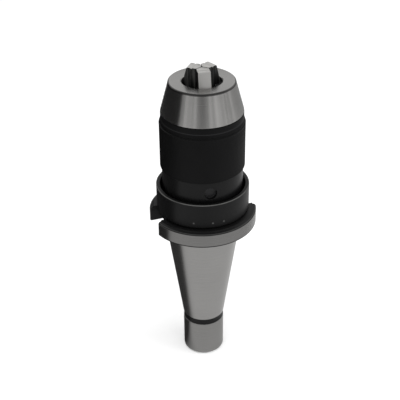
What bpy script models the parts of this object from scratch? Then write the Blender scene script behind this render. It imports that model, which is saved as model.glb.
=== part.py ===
"""Keyless drill chuck with an integral 7:24 taper shank, standing on its pilot, jaws up.

Origin at the bottom centre of the pilot, +Z towards the jaws, drive slots along X. Metres.
"""

from math import cos, pi, radians, sin, sqrt, tan

import bmesh
import bpy

MM = 0.001

# --- driving dimensions -------------------------------------------------------------------
GAP = 0.3 * MM                 # between pieces that touch on the real object
GAUGE_Z = 93.4 * MM            # gauge plane of the taper
GAUGE_R = 22.225 * MM          # taper radius at the gauge plane
TAPER = 7 / 48                 # radius change per length of a 7:24 taper
TAPER_LENGTH = 65.9 * MM
PILOT_R = 12.5 * MM
PILOT_TOP = 23.4 * MM
UNDERCUT_R = 12.15 * MM
DRAWBAR_R = 6.95 * MM          # tapping hole of the M16 drawbar thread
DRAWBAR_DEPTH = 43 * MM

FLANGE_R = 31.5 * MM
FLANGE_Z = 95.0 * MM
FLANGE_TOP = 104.75 * MM
FLANGE_LAND_R = 29.2 * MM      # flat top of the flange, inside its stepped lip
SLOT_WIDTH = 16.1 * MM
SLOT_FLOOR = 22.5 * MM         # from the axis to the bottom of a drive slot
SLOT_TOP = 105.35 * MM
SLOT_BREAK = 1 * MM            # depth of the 45 degree chamfers at a slot's mouth
COLLAR_R = 27.15 * MM
COLLAR_Z = 105.7 * MM
COLLAR_TOP = 120.6 * MM
POCKET_R = 24.7 * MM           # pocket in the collar that the bearing ring dips into
POCKET_Z = 108.2 * MM
RELIEF_R = 25.8 * MM           # relief groove between flange and collar

NECK_R = 14.2 * MM
NECK_THREAD_R = 13.0 * MM
NECK_SHOULDER = 120.6 * MM
NECK_TOP = 131.4 * MM
BORE_R = 9.0 * MM              # left-hand thread of the drive screw
BORE_FLOOR = 95.5 * MM

RING_R = 23.5 * MM
RING_Z = 108.5 * MM
RING_TOP = 132.7 * MM
CUP_R = 20.1 * MM              # inside wall of the bearing ring
CUP_FLOOR = 113.0 * MM
SPIGOT_R = 21.9 * MM           # threads inside the sleeve
SPIGOT_TOP = 139.0 * MM
SEAL_Z = 110.6 * MM
SPANNER_HOLE_R = 3.7 * MM
SPANNER_HOLE_Z = 125.9 * MM
SPANNER_HOLE_DEG = 262.0

BALL_R = 1.75 * MM
BALL_Z = 117.0 * MM
BALL_PITCH_R = 17.15 * MM
BALLS = 16
RACE_FACE = 1.4 * MM           # from the ball's centre to each race's face
RACE_THICK = 2.3 * MM
CAGE_THICK = 1.4 * MM
NUT_R = 19.7 * MM
NUT_TOP = 131.0 * MM
LOCK_R = 1.5 * MM
LOCK_Z = 127.0 * MM

SLEEVE_R = 24.5 * MM
SLEEVE_BORE_R = 22.2 * MM
SLEEVE_Z = 133.0 * MM
SLEEVE_TOP = 166.6 * MM
LAND_R = 23.55 * MM            # plain land above the sleeve's shoulder
KNURL_TOP = 160.0 * MM

HOOD_Z = 166.9 * MM
HOOD_TOP = 185.0 * MM
HOOD_R = 23.55 * MM
HOOD_SLOPE = 0.2667            # radius lost per height on the cone
HOOD_WALL = 2.2 * MM
HOOD_FACE = 2.7 * MM
HOOD_FACE_R = 18.2 * MM
MOUTH_R = 11.3 * MM

JAW_DEGREES = (261.1, 21.1, 141.1)
JAW_SLOPE = radians(15)        # from the chuck's axis to the jaws' slides
JAW_TOP = 192.7 * MM
JAW_TIP_R = 7.7 * MM           # back of a jaw at its tip
JAW_FOOT = 163.7 * MM
JAW_FOOT_R = 15.0 * MM         # back of a jaw at its foot
JAW_GRIP_R = 0.5 * MM          # closed on a 1 mm drill
JAW_WIDTH = 7.0 * MM
TAIL_INNER, TAIL_OUTER = 3.2 * MM, 9.0 * MM
TAIL_Z = 156.3 * MM
TAIL_HEAD = 3.2 * MM
TAIL_NECK_WIDTH = 4.0 * MM
RIB_OFFSET = 1.5 * MM          # from the jaw's back, square to it
RIB_THICK = 2.6 * MM
RIB_WIDTH = 9.2 * MM
RIB_FOOT, RIB_TOP = 165.7 * MM, 181.0 * MM

GUIDE_R = 21.9 * MM
GUIDE_Z = 139.4 * MM
GUIDE_TOP = 182.0 * MM
GUIDE_BORE_R = 15.9 * MM       # room for the head of the drive screw
GUIDE_FLOOR = 163.9 * MM
GUIDE_MOUTH_R = 7.5 * MM

SCREW_HEAD_R = 15.5 * MM
SCREW_HEAD_Z, SCREW_HEAD_TOP = 154.4 * MM, 163.4 * MM
SCREW_R = 8.7 * MM
SCREW_END = 119.0 * MM

STEPS = 48                     # facets round the large pieces
FINE_STEPS = 32                # facets round the small ones
SHARP_ANGLE = radians(30)

FINISHES = {                   # colour, roughness, metallic
    "ground_steel": ((0.46, 0.45, 0.43), 0.28, 1.0),
    "black_oxide": ((0.018, 0.018, 0.018), 0.38, 0.6),
    "jaw_steel": ((0.62, 0.61, 0.58), 0.25, 1.0),
    "bearing_steel": ((0.58, 0.58, 0.58), 0.12, 1.0),
    "cage_brass": ((0.66, 0.47, 0.20), 0.35, 1.0),
    "seal_rubber": ((0.012, 0.012, 0.012), 0.75, 0.0),
}


# --- helpers ------------------------------------------------------------------------------
def clear_scene():
    """Removes every object of the open scene."""
    for obj in list(bpy.data.objects):
        bpy.data.objects.remove(obj, do_unlink=True)


def collection(name):
    """A collection linked to the scene."""
    made = bpy.data.collections.new(name)
    bpy.context.scene.collection.children.link(made)
    return made


def finish_material(name):
    """The Principled material of one finish, made the first time it is asked for."""
    if name in bpy.data.materials:
        return bpy.data.materials[name]
    colour, roughness, metallic = FINISHES[name]
    material = bpy.data.materials.new(name)
    material.use_nodes = True
    shader = material.node_tree.nodes["Principled BSDF"]
    shader.inputs["Base Color"].default_value = (*colour, 1.0)
    shader.inputs["Roughness"].default_value = roughness
    shader.inputs["Metallic"].default_value = metallic
    return material


def as_mesh_object(source, where):
    """Replaces a modified or curve object by a plain mesh object of the same name."""
    bpy.context.view_layer.update()
    evaluated = source.evaluated_get(bpy.context.evaluated_depsgraph_get())
    mesh = bpy.data.meshes.new_from_object(evaluated)
    mesh.transform(source.matrix_world)
    weld = bmesh.new()
    weld.from_mesh(mesh)
    bmesh.ops.remove_doubles(weld, verts=weld.verts, dist=1e-6)
    weld.to_mesh(mesh)
    weld.free()
    name = source.name
    bpy.data.objects.remove(source, do_unlink=True)
    made = bpy.data.objects.new(name, mesh)
    where.objects.link(made)
    return made


def adopt(name, where):
    """Names the primitive that was just added, and moves it to a collection."""
    obj = bpy.context.object
    obj.name = name
    for owner in obj.users_collection:
        owner.objects.unlink(obj)
    where.objects.link(obj)
    return obj


def turned(name, profile, steps=STEPS):
    """A solid of revolution about Z. The (radius, height) profile runs down its outer side.

    A profile with both ends on the axis makes a full solid, and any other one is closed into a ring.
    """
    count = len(profile)
    edges = [(i, i + 1) for i in range(count - 1)]
    if profile[0][0] > 0:
        edges.append((count - 1, 0))
    mesh = bpy.data.meshes.new(name)
    mesh.from_pydata([(r, 0, z) for r, z in profile], edges, [])
    obj = bpy.data.objects.new(name, mesh)
    PARTS.objects.link(obj)
    screw = obj.modifiers.new("Turn", "SCREW")
    screw.steps = screw.render_steps = steps
    screw.use_merge_vertices = True
    screw.merge_threshold = 1e-5
    return as_mesh_object(obj, PARTS)


def flat_outline(name, outline, thickness, where):
    """A flat curve of the outline, in the XY plane and thick along Z, half of it on each side."""
    curve = bpy.data.curves.new(name, "CURVE")
    curve.dimensions = "2D"
    curve.fill_mode = "BOTH"
    curve.extrude = thickness / 2
    spline = curve.splines.new("POLY")
    spline.points.add(len(outline) - 1)
    for point, (x, y) in zip(spline.points, outline):
        point.co = (x, y, 0, 1)
    spline.use_cyclic_u = True
    obj = bpy.data.objects.new(name, curve)
    where.objects.link(obj)
    return obj


def plate(name, outline, width, degrees, where):
    """A flat plate of the (radius, height) outline, standing on the radius at this angle."""
    obj = flat_outline(name, outline, width, where)
    obj.rotation_euler = (pi / 2, 0, radians(degrees))
    return as_mesh_object(obj, where)


def slab(name, outline, low, high, degrees, where):
    """A level slab between two heights. Its outline's first axis is the radius at this angle."""
    obj = flat_outline(name, outline, high - low, where)
    obj.location = (0, 0, (low + high) / 2)
    obj.rotation_euler = (0, 0, radians(degrees))
    return as_mesh_object(obj, where)


def rod(name, radius, start, end, height, degrees, where, facets=16):
    """A cylinder along the radius at this angle and height, from one radius to another."""
    bpy.ops.mesh.primitive_cylinder_add(vertices=facets, radius=radius, depth=end - start)
    obj = adopt(name, where)
    turn = radians(degrees)
    middle = (start + end) / 2
    obj.location = (middle * cos(turn), middle * sin(turn), height)
    obj.rotation_euler = (0, pi / 2, turn)
    return as_mesh_object(obj, where)


def combine(obj, other, operation):
    """Cuts or joins a solid with another, which becomes a hidden guide."""
    other.hide_render = True
    other.display_type = "WIRE"
    boolean = obj.modifiers.new(operation.title(), "BOOLEAN")
    boolean.operation = operation
    boolean.object = other
    return as_mesh_object(obj, PARTS)


def box_outline(r0, r1, z0, z1):
    """The four corners of an upright rectangle."""
    return [(r0, z0), (r1, z0), (r1, z1), (r0, z1)]


def jaw_back(height, inward=0.0):
    """Radius of a jaw's back at a height, or of a line that lies inward of it, square to the slide."""
    return JAW_TIP_R + (JAW_TOP - height) * tan(JAW_SLOPE) - inward / cos(JAW_SLOPE)


def slide_outline(inner, outer, low, high):
    """A bar along a jaw's slide, between two depths inward of the jaw's back."""
    return [
        (jaw_back(low, inner), low),
        (jaw_back(low, outer), low),
        (jaw_back(high, outer), high),
        (jaw_back(high, inner), high),
    ]


def hood_radius(height):
    """Outer radius of the hood's cone at a height."""
    return HOOD_R - (height - HOOD_Z) * HOOD_SLOPE


def groove_arc(side):
    """Points of a race's ball groove, from its outer edge to its inner edge.

    side is +1 for the race under the balls and -1 for the one over them.
    """
    radius = BALL_R + GAP
    half = sqrt(radius**2 - RACE_FACE**2)
    reach = [half * share for share in (1, 0.5, 0, -0.5, -1)]
    return [(BALL_PITCH_R + x, BALL_Z - side * sqrt(radius**2 - x**2)) for x in reach]


# --- fixed pieces -------------------------------------------------------------------------
def make_shank():
    """Pilot, taper, slotted flange, collar and hollow neck, turned in one piece."""
    taper_foot = GAUGE_Z - TAPER_LENGTH
    bevel = 0.4 * MM
    obj = turned("shank", [
        (0, BORE_FLOOR),
        (BORE_R, BORE_FLOOR),
        (BORE_R, NECK_TOP - bevel),
        (BORE_R + bevel, NECK_TOP),
        (NECK_THREAD_R - bevel, NECK_TOP),
        (NECK_THREAD_R, NECK_TOP - bevel),
        (NECK_THREAD_R, NECK_SHOULDER),
        (NECK_R, NECK_SHOULDER),
        (NECK_R, POCKET_Z),
        (POCKET_R, POCKET_Z),
        (POCKET_R, COLLAR_TOP - bevel),
        (POCKET_R + bevel, COLLAR_TOP),
        (COLLAR_R - bevel, COLLAR_TOP),
        (COLLAR_R, COLLAR_TOP - bevel),
        (COLLAR_R, COLLAR_Z),
        (RELIEF_R, COLLAR_Z),
        (RELIEF_R, FLANGE_TOP),
        (FLANGE_LAND_R, FLANGE_TOP),
        (FLANGE_LAND_R + 0.3 * MM, FLANGE_TOP - 0.65 * MM),
        (FLANGE_R - 0.6 * MM, FLANGE_TOP - 1.15 * MM),
        (FLANGE_R, FLANGE_TOP - 1.75 * MM),
        (FLANGE_R, FLANGE_Z + bevel),
        (FLANGE_R - bevel, FLANGE_Z),
        (GAUGE_R + (FLANGE_Z - GAUGE_Z) * TAPER, FLANGE_Z),
        (GAUGE_R - TAPER_LENGTH * TAPER, taper_foot),
        (UNDERCUT_R, taper_foot),
        (UNDERCUT_R, PILOT_TOP),
        (PILOT_R, PILOT_TOP),
        (PILOT_R, 1 * MM),
        (PILOT_R - 1 * MM, 0),
        (9.2 * MM, 0),
        (DRAWBAR_R, 3.9 * MM),
        (DRAWBAR_R, DRAWBAR_DEPTH),
        (0, DRAWBAR_DEPTH + 4 * MM),
    ])
    half = SLOT_WIDTH / 2
    mouth = sqrt(FLANGE_R**2 - half**2) - SLOT_BREAK
    flare = 4 * MM
    slot = [
        (SLOT_FLOOR, -half),
        (mouth, -half),
        (mouth + flare, -half - flare),
        (mouth + flare, half + flare),
        (mouth, half),
        (SLOT_FLOOR, half),
    ]
    for degrees in (0, 180):
        cutter = slab("slot_cutter", slot, FLANGE_Z - 1 * MM, SLOT_TOP, degrees, CUTTERS)
        obj = combine(obj, cutter, "DIFFERENCE")
    return obj


def make_thrust_nut():
    """Shoulder nut on the neck, which carries the jaws' thrust, with its radial lock screw."""
    bevel = 0.4 * MM
    bore = NECK_THREAD_R + GAP
    foot = BALL_Z + RACE_FACE + RACE_THICK + GAP
    nut = turned("thrust_nut", [
        (bore, NUT_TOP),
        (NUT_R - bevel, NUT_TOP),
        (NUT_R, NUT_TOP - bevel),
        (NUT_R, foot),
        (bore, foot),
    ], FINE_STEPS)
    hole = rod("lock_hole", LOCK_R + GAP, bore - 1 * MM, NUT_R + 1 * MM, LOCK_Z, 0, CUTTERS, 12)
    nut = combine(nut, hole, "DIFFERENCE")
    lock = rod("nut_lock_screw", LOCK_R, bore + GAP, NUT_R - GAP, LOCK_Z, 0, PARTS, 12)
    socket = rod("lock_socket", LOCK_R / 2, NUT_R - 2 * MM, NUT_R + 1 * MM, LOCK_Z, 0, CUTTERS, 6)
    return nut, combine(lock, socket, "DIFFERENCE")


def make_race(name, side):
    """A washer with a ball groove. side is +1 under the balls and -1 over them."""
    face = BALL_Z - side * RACE_FACE
    back = face - side * RACE_THICK
    inner, outer = NECK_R + GAP, CUP_R - GAP
    loop = [(outer, face), (outer, back), (inner, back), (inner, face)]
    loop += list(reversed(groove_arc(side)))
    if side < 0:
        loop.reverse()
    return turned(name, loop, FINE_STEPS)


# --- ball cage ----------------------------------------------------------------------------
def make_cage():
    """Flat brass ring with one pocket for each ball."""
    inner, outer = NECK_R + 0.4 * MM, CUP_R - 0.4 * MM
    low, high = BALL_Z - CAGE_THICK / 2, BALL_Z + CAGE_THICK / 2
    cage = turned("ball_cage", [(outer, high), (outer, low), (inner, low), (inner, high)], FINE_STEPS)
    for index in range(BALLS):
        turn = 2 * pi * index / BALLS
        bpy.ops.mesh.primitive_cylinder_add(vertices=12, radius=BALL_R + GAP, depth=3 * CAGE_THICK)
        pocket = adopt("pocket_cutter", CUTTERS)
        pocket.location = (BALL_PITCH_R * cos(turn), BALL_PITCH_R * sin(turn), BALL_Z)
        cage = combine(cage, as_mesh_object(pocket, CUTTERS), "DIFFERENCE")
    return cage


def make_balls():
    """The bearing balls, which share one mesh."""
    ball = bmesh.new()
    bmesh.ops.create_uvsphere(ball, u_segments=12, v_segments=7, radius=BALL_R)
    mesh = bpy.data.meshes.new("ball")
    ball.to_mesh(mesh)
    ball.free()
    made = []
    for index in range(BALLS):
        turn = 2 * pi * index / BALLS
        obj = bpy.data.objects.new(f"ball_{index + 1:02d}", mesh)
        obj.location = (BALL_PITCH_R * cos(turn), BALL_PITCH_R * sin(turn), BALL_Z)
        PARTS.objects.link(obj)
        made.append(obj)
    return made


# --- pieces that turn with the sleeve -----------------------------------------------------
def make_bearing_ring():
    """Cup that screws into the sleeve and carries the lower race, with a blind spanner hole."""
    bevel = 0.4 * MM
    bore = NECK_R + GAP
    groove_r = 16.9 * MM
    ring = turned("bearing_ring", [
        (CUP_R, SPIGOT_TOP),
        (SPIGOT_R, SPIGOT_TOP),
        (SPIGOT_R, RING_TOP),
        (RING_R, RING_TOP),
        (RING_R, RING_Z + bevel),
        (RING_R - bevel, RING_Z),
        (bore, RING_Z),
        (bore, SEAL_Z - 1 * MM),
        (groove_r, SEAL_Z - 1 * MM),
        (groove_r, SEAL_Z + 1 * MM),
        (bore, SEAL_Z + 1 * MM),
        (bore, CUP_FLOOR),
        (CUP_R, CUP_FLOOR),
    ])
    hole = rod("spanner_hole", SPANNER_HOLE_R, RING_R - 2.6 * MM, RING_R + 2 * MM,
               SPANNER_HOLE_Z, SPANNER_HOLE_DEG, CUTTERS, 20)
    return combine(ring, hole, "DIFFERENCE")


def make_dust_seal():
    """Rubber ring in the bearing ring's bore, round the neck."""
    bpy.ops.mesh.primitive_torus_add(
        major_radius=15.7 * MM, minor_radius=0.75 * MM,
        major_segments=FINE_STEPS, minor_segments=8, location=(0, 0, SEAL_Z))
    return as_mesh_object(adopt("dust_seal", PARTS), PARTS)


def make_sleeve():
    """Gripping sleeve: a tube with a shoulder and a plain land at its top."""
    bevel = 0.3 * MM
    return turned("sleeve", [
        (SLEEVE_BORE_R, SLEEVE_TOP),
        (LAND_R, SLEEVE_TOP),
        (LAND_R, KNURL_TOP + 2.9 * MM),
        (LAND_R + 0.15 * MM, KNURL_TOP + 2.7 * MM),
        (SLEEVE_R - 0.4 * MM, KNURL_TOP + 1.3 * MM),
        (SLEEVE_R - 0.6 * MM, KNURL_TOP + 1.0 * MM),
        (SLEEVE_R - 0.6 * MM, KNURL_TOP + 0.4 * MM),
        (SLEEVE_R, KNURL_TOP),
        (SLEEVE_R, SLEEVE_Z + bevel),
        (SLEEVE_R - bevel, SLEEVE_Z),
        (SLEEVE_BORE_R, SLEEVE_Z),
    ])


def make_hood():
    """Conical cap over the jaw guide, with the mouth that the jaws come out of."""
    roof = HOOD_TOP - HOOD_FACE
    return turned("hood", [
        (MOUTH_R + 0.55 * MM, HOOD_TOP),
        (HOOD_FACE_R, HOOD_TOP),
        (HOOD_FACE_R + 0.7 * MM, HOOD_TOP - 0.5 * MM),
        (hood_radius(HOOD_TOP - 1.3 * MM), HOOD_TOP - 1.3 * MM),
        (HOOD_R, HOOD_Z),
        (HOOD_R - HOOD_WALL, HOOD_Z),
        (hood_radius(roof) - HOOD_WALL, roof),
        (MOUTH_R + 0.7 * MM, roof),
        (MOUTH_R, HOOD_TOP - 0.5 * MM),
    ])


def make_jaw_guide():
    """Core under the hood, screwed into the sleeve, with the three inclined slides of the jaws."""
    step = HOOD_Z + GAP
    inset = HOOD_WALL + GAP
    guide = turned("jaw_guide", [
        (GUIDE_MOUTH_R, GUIDE_TOP),
        (hood_radius(GUIDE_TOP) - inset, GUIDE_TOP),
        (hood_radius(step) - inset, step),
        (hood_radius(step) - inset, SLEEVE_TOP),
        (GUIDE_R, SLEEVE_TOP),
        (GUIDE_R, GUIDE_Z),
        (GUIDE_BORE_R, GUIDE_Z),
        (GUIDE_BORE_R, GUIDE_FLOOR),
        (GUIDE_MOUTH_R, GUIDE_FLOOR),
    ])
    low, high = GUIDE_Z - 1 * MM, GUIDE_TOP + 1 * MM
    slot = [
        (4 * MM, low),
        (jaw_back(low, -GAP), low),
        (jaw_back(high, -GAP), high),
        (4 * MM, high),
    ]
    groove = slide_outline(RIB_OFFSET - GAP, RIB_OFFSET + RIB_THICK + GAP, low, high)
    for degrees in JAW_DEGREES:
        slot_cutter = plate("jaw_slot", slot, JAW_WIDTH + 2 * GAP, degrees, CUTTERS)
        guide = combine(guide, slot_cutter, "DIFFERENCE")
        groove_cutter = plate("rib_groove", groove, RIB_WIDTH + 2 * GAP, degrees, CUTTERS)
        guide = combine(guide, groove_cutter, "DIFFERENCE")
    return guide


# --- drive screw and jaws -----------------------------------------------------------------
def make_drive_screw():
    """Left-hand screw whose head holds the jaws' tails in three radial T slots."""
    bevel = 0.5 * MM
    screw = turned("drive_screw", [
        (0, SCREW_HEAD_TOP),
        (SCREW_HEAD_R - bevel, SCREW_HEAD_TOP),
        (SCREW_HEAD_R, SCREW_HEAD_TOP - bevel),
        (SCREW_HEAD_R, SCREW_HEAD_Z),
        (SCREW_R, SCREW_HEAD_Z),
        (SCREW_R, SCREW_END + bevel),
        (SCREW_R - bevel, SCREW_END),
        (0, SCREW_END),
    ], FINE_STEPS)
    start, end = TAIL_INNER - GAP, SCREW_HEAD_R + 1 * MM
    head_top = TAIL_Z + TAIL_HEAD + GAP
    head = box_outline(start, end, TAIL_Z - GAP, head_top)
    neck = box_outline(start + 0.1 * MM, end + 1 * MM, head_top - 0.5 * MM, SCREW_HEAD_TOP + 1 * MM)
    for degrees in JAW_DEGREES:
        head_slot = plate("tail_slot", head, JAW_WIDTH + 2 * GAP, degrees, CUTTERS)
        screw = combine(screw, head_slot, "DIFFERENCE")
        neck_slot = plate("tail_slot_neck", neck, TAIL_NECK_WIDTH + 2 * GAP, degrees, CUTTERS)
        screw = combine(screw, neck_slot, "DIFFERENCE")
    return screw


def make_jaw(index, degrees):
    """A wedge jaw: gripping edge, V groove across its top, inclined back, side ribs and a T-shaped tail."""
    top_bevel = 0.35 * MM
    groove_r, groove_half, groove_depth = 4.9 * MM, 0.6 * MM, 0.5 * MM
    jaw = plate(f"jaw_{index}", [
        (JAW_GRIP_R, JAW_FOOT),
        (JAW_FOOT_R, JAW_FOOT),
        (JAW_FOOT_R, JAW_TOP - (JAW_FOOT_R - JAW_TIP_R) / tan(JAW_SLOPE)),
        (jaw_back(JAW_TOP - top_bevel), JAW_TOP - top_bevel),
        (JAW_TIP_R - top_bevel, JAW_TOP),
        (groove_r + groove_half, JAW_TOP),
        (groove_r, JAW_TOP - groove_depth),
        (groove_r - groove_half, JAW_TOP),
        (JAW_GRIP_R, JAW_TOP),
    ], JAW_WIDTH, degrees, PARTS)
    for side in (-1, 1):
        jaw = combine(jaw, nose_cutter(degrees, side), "DIFFERENCE")
    rib = slide_outline(RIB_OFFSET, RIB_OFFSET + RIB_THICK, RIB_FOOT, RIB_TOP)
    jaw = combine(jaw, plate("jaw_rib", rib, RIB_WIDTH, degrees, CUTTERS), "UNION")
    neck = box_outline(TAIL_INNER, TAIL_OUTER, TAIL_Z + 1 * MM, JAW_FOOT + 1 * MM)
    jaw = combine(jaw, plate("tail_neck", neck, TAIL_NECK_WIDTH, degrees, CUTTERS), "UNION")
    head = box_outline(TAIL_INNER, TAIL_OUTER, TAIL_Z, TAIL_Z + TAIL_HEAD)
    return combine(jaw, plate("tail_head", head, JAW_WIDTH, degrees, CUTTERS), "UNION")


def nose_cutter(degrees, side):
    """Upright block whose face is the bevel of a jaw's nose, 60 degrees off the jaw's middle."""
    pad = 0.5 * MM
    size = 12 * MM
    bpy.ops.mesh.primitive_cube_add(size=1)
    block = adopt("nose_cutter", CUTTERS)
    block.dimensions = (size, size, 2 * (JAW_TOP - JAW_FOOT))
    face = radians(degrees + side * 60)
    nose = radians(degrees)
    edge_x = JAW_GRIP_R * cos(nose) - side * pad * sin(nose)
    edge_y = JAW_GRIP_R * sin(nose) + side * pad * cos(nose)
    block.rotation_euler = (0, 0, face)
    block.location = (
        edge_x - side * size / 2 * sin(face),
        edge_y + side * size / 2 * cos(face),
        (JAW_TOP + JAW_FOOT) / 2,
    )
    return as_mesh_object(block, CUTTERS)


# --- assembly -----------------------------------------------------------------------------
def dress(objects, finish):
    """Gives objects their finish, and smooths their round faces."""
    for obj in objects:
        obj.data.materials.clear()
        obj.data.materials.append(finish_material(finish))
        obj.data.shade_smooth()
        obj.data.set_sharp_from_angle(angle=SHARP_ANGLE)


clear_scene()
PARTS = collection("drill_chuck")
CUTTERS = collection("cutters")

dress([make_shank(), make_hood()], "ground_steel")
dress([make_bearing_ring(), make_sleeve()], "black_oxide")
dress([make_jaw_guide(), make_drive_screw(), *make_thrust_nut()], "black_oxide")
dress([make_race("lower_race", 1), make_race("upper_race", -1), *make_balls()], "bearing_steel")
dress([make_cage()], "cage_brass")
dress([make_dust_seal()], "seal_rubber")
dress([make_jaw(i + 1, degrees) for i, degrees in enumerate(JAW_DEGREES)], "jaw_steel")
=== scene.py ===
"""Looks of a keyless drill chuck with an integral taper shank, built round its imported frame.

Laid out as an add-on and run as a script: each operator makes one piece or group of like pieces, every
size that could be changed is a property, and new pieces are surfaces worked out with numpy.
"""

import math

import bmesh
import bpy
import numpy as np
from mathutils import Matrix, Vector


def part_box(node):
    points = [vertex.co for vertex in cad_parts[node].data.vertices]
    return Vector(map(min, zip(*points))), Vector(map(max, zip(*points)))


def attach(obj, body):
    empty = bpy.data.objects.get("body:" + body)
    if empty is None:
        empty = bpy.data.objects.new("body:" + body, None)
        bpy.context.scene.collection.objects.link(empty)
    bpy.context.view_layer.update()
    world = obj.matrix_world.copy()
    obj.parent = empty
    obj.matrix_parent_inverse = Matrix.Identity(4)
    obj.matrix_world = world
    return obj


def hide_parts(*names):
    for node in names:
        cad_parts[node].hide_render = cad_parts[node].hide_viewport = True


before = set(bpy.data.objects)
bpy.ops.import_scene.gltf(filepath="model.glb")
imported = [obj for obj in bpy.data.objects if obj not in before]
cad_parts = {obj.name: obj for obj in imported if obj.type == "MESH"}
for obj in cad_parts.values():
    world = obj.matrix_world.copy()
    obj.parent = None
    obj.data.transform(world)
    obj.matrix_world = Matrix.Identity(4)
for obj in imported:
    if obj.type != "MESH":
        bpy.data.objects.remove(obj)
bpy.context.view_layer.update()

bl_info = {
    "name": "Keyless Drill Chuck",
    "version": (1, 0, 0),
    "blender": (4, 5, 0),
    "location": "View3D > Sidebar > Drill Chuck",
    "description": "Makes the surfaces, finishes and stage of a keyless drill chuck",
    "category": "Object",
}

MM = 0.001
TURN = 2 * math.pi
SHARP = math.radians(32)      # edges that turn by more than this are drawn sharp
MERGE = 2e-7                  # points nearer than this are one point
GAP = 0.3 * MM                # between neighbouring pieces
FACING = 251.1                # direction of the camera round the axis, in degrees
GLINT_HEIGHT = 108.6 * MM       # of the painted glints on the collar
GLINT_DIRECTIONS = (239.8, 263.0, 277.0)
GLINT_SIZE = 0.45 * MM
PAINTED_HIGHLIGHT_TONE = (0.10, 0.10, 0.097)  # pale tone of the highlights and glints painted on the black oxide
TENT_RADIUS = 0.5             # of the studio tent that the chuck reflects
TENT_HEIGHT = 0.18            # where the tent's wall ends and its dome starts
FLOOR_GLOW = 0.32             # the floor's own light, which keeps it near white
ROOM_GLOW = 0.62              # the light of the surroundings


def low(node):
    """Lowest corner of a node of the frame."""
    return Vector(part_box(node)[0])


def high(node):
    """Highest corner of a node of the frame."""
    return Vector(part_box(node)[1])


def length(name, default, description):
    """A size property, in metres."""
    return bpy.props.FloatProperty(
        name=name, description=description, default=default, min=0.0, precision=5, unit="LENGTH")


def colour(name, default, description):
    """A colour property."""
    return bpy.props.FloatVectorProperty(
        name=name, description=description, default=default, size=3, min=0.0, max=1.0, subtype="COLOR")


def share(name, default, description):
    """A property from 0 to 1."""
    return bpy.props.FloatProperty(
        name=name, description=description, default=default, min=0.0, max=1.0, subtype="FACTOR")


# --- sizes and colours --------------------------------------------------------------------
class ShankSizes(bpy.types.PropertyGroup):
    """Sizes of the pilot, taper, flange, collar and neck."""

    pilot_radius: length("Pilot radius", 12.5 * MM, "Radius of the plain pilot")
    pilot_top: length("Pilot top", 23.4 * MM, "Height of the pilot's upper edge")
    undercut_radius: length("Undercut radius", 12.15 * MM, "Radius of the black undercut above the pilot")
    taper_foot: length("Taper foot", 27.5 * MM, "Height where the taper starts")
    taper_foot_radius: length("Taper foot radius", 12.615 * MM, "Radius of the taper's small end")
    taper_top_radius: length("Taper top radius", 22.458 * MM, "Radius of the taper under the flange")
    flange_radius: length("Flange radius", high("shank").y, "Radius of the ground flange rim")
    flange_foot: length("Flange foot", 95.0 * MM, "Height of the flange's underside")
    flange_top: length("Flange top", 104.75 * MM, "Height of the flange's top face")
    flange_land: length("Flange land", 29.2 * MM, "Outer radius of the flange's flat top")
    rim_top: length("Rim top", 103.0 * MM, "Height where the ground rim ends")
    slot_width: length("Slot width", 16.1 * MM, "Width of each drive slot")
    slot_floor: length("Slot floor", 22.5 * MM, "Distance from the axis to the bottom of a drive slot")
    slot_top: length("Slot top", 105.35 * MM, "Height where a drive slot ends")
    slot_break: length("Slot chamfer", 1.0 * MM, "Depth of the chamfers at a slot's mouth")
    relief_radius: length("Relief radius", 25.8 * MM, "Radius of the groove over the flange")
    collar_radius: length("Collar radius", 27.15 * MM, "Outer radius of the collar")
    collar_foot: length("Collar foot", 105.7 * MM, "Height of the collar's underside")
    collar_top: length("Collar top", 120.6 * MM, "Height of the collar's rim")
    pocket_radius: length("Pocket radius", 24.7 * MM, "Radius of the pocket inside the collar")
    pocket_floor: length("Pocket floor", 108.2 * MM, "Height of the pocket's floor")
    neck_radius: length("Neck radius", 14.2 * MM, "Radius of the neck under the thrust nut")
    neck_shoulder: length("Neck shoulder", 120.6 * MM, "Height of the step that the thrust nut stops at")
    neck_thread: length("Neck thread", 13.0 * MM, "Outer radius of the neck's thread")
    bore_radius: length("Bore radius", 9.0 * MM, "Radius of the drive screw's bore")
    bore_floor: length("Bore floor", 95.5 * MM, "Height of the bottom of the bore")
    drawbar_radius: length("Drawbar radius", 6.95 * MM, "Crest radius of the drawbar thread")
    drawbar_pitch: length("Drawbar pitch", 2.0 * MM, "Pitch of the drawbar thread")
    drawbar_depth: length("Drawbar depth", 43.0 * MM, "Depth of the drawbar hole")


class HoodSizes(bpy.types.PropertyGroup):
    """Sizes of the conical hood."""

    foot_radius: length("Foot radius", high("hood").y, "Radius at the hood's lower edge")
    slope: share("Slope", 0.2667, "Radius lost for each unit of height on the cone")
    wall: length("Wall", 2.2 * MM, "Thickness of the conical wall, along the radius")
    face: length("Face", 2.7 * MM, "Thickness of the front face")
    face_radius: length("Face radius", 18.2 * MM, "Outer radius of the flat front face")
    mouth_radius: length("Mouth radius", 11.3 * MM, "Radius of the mouth")


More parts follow.
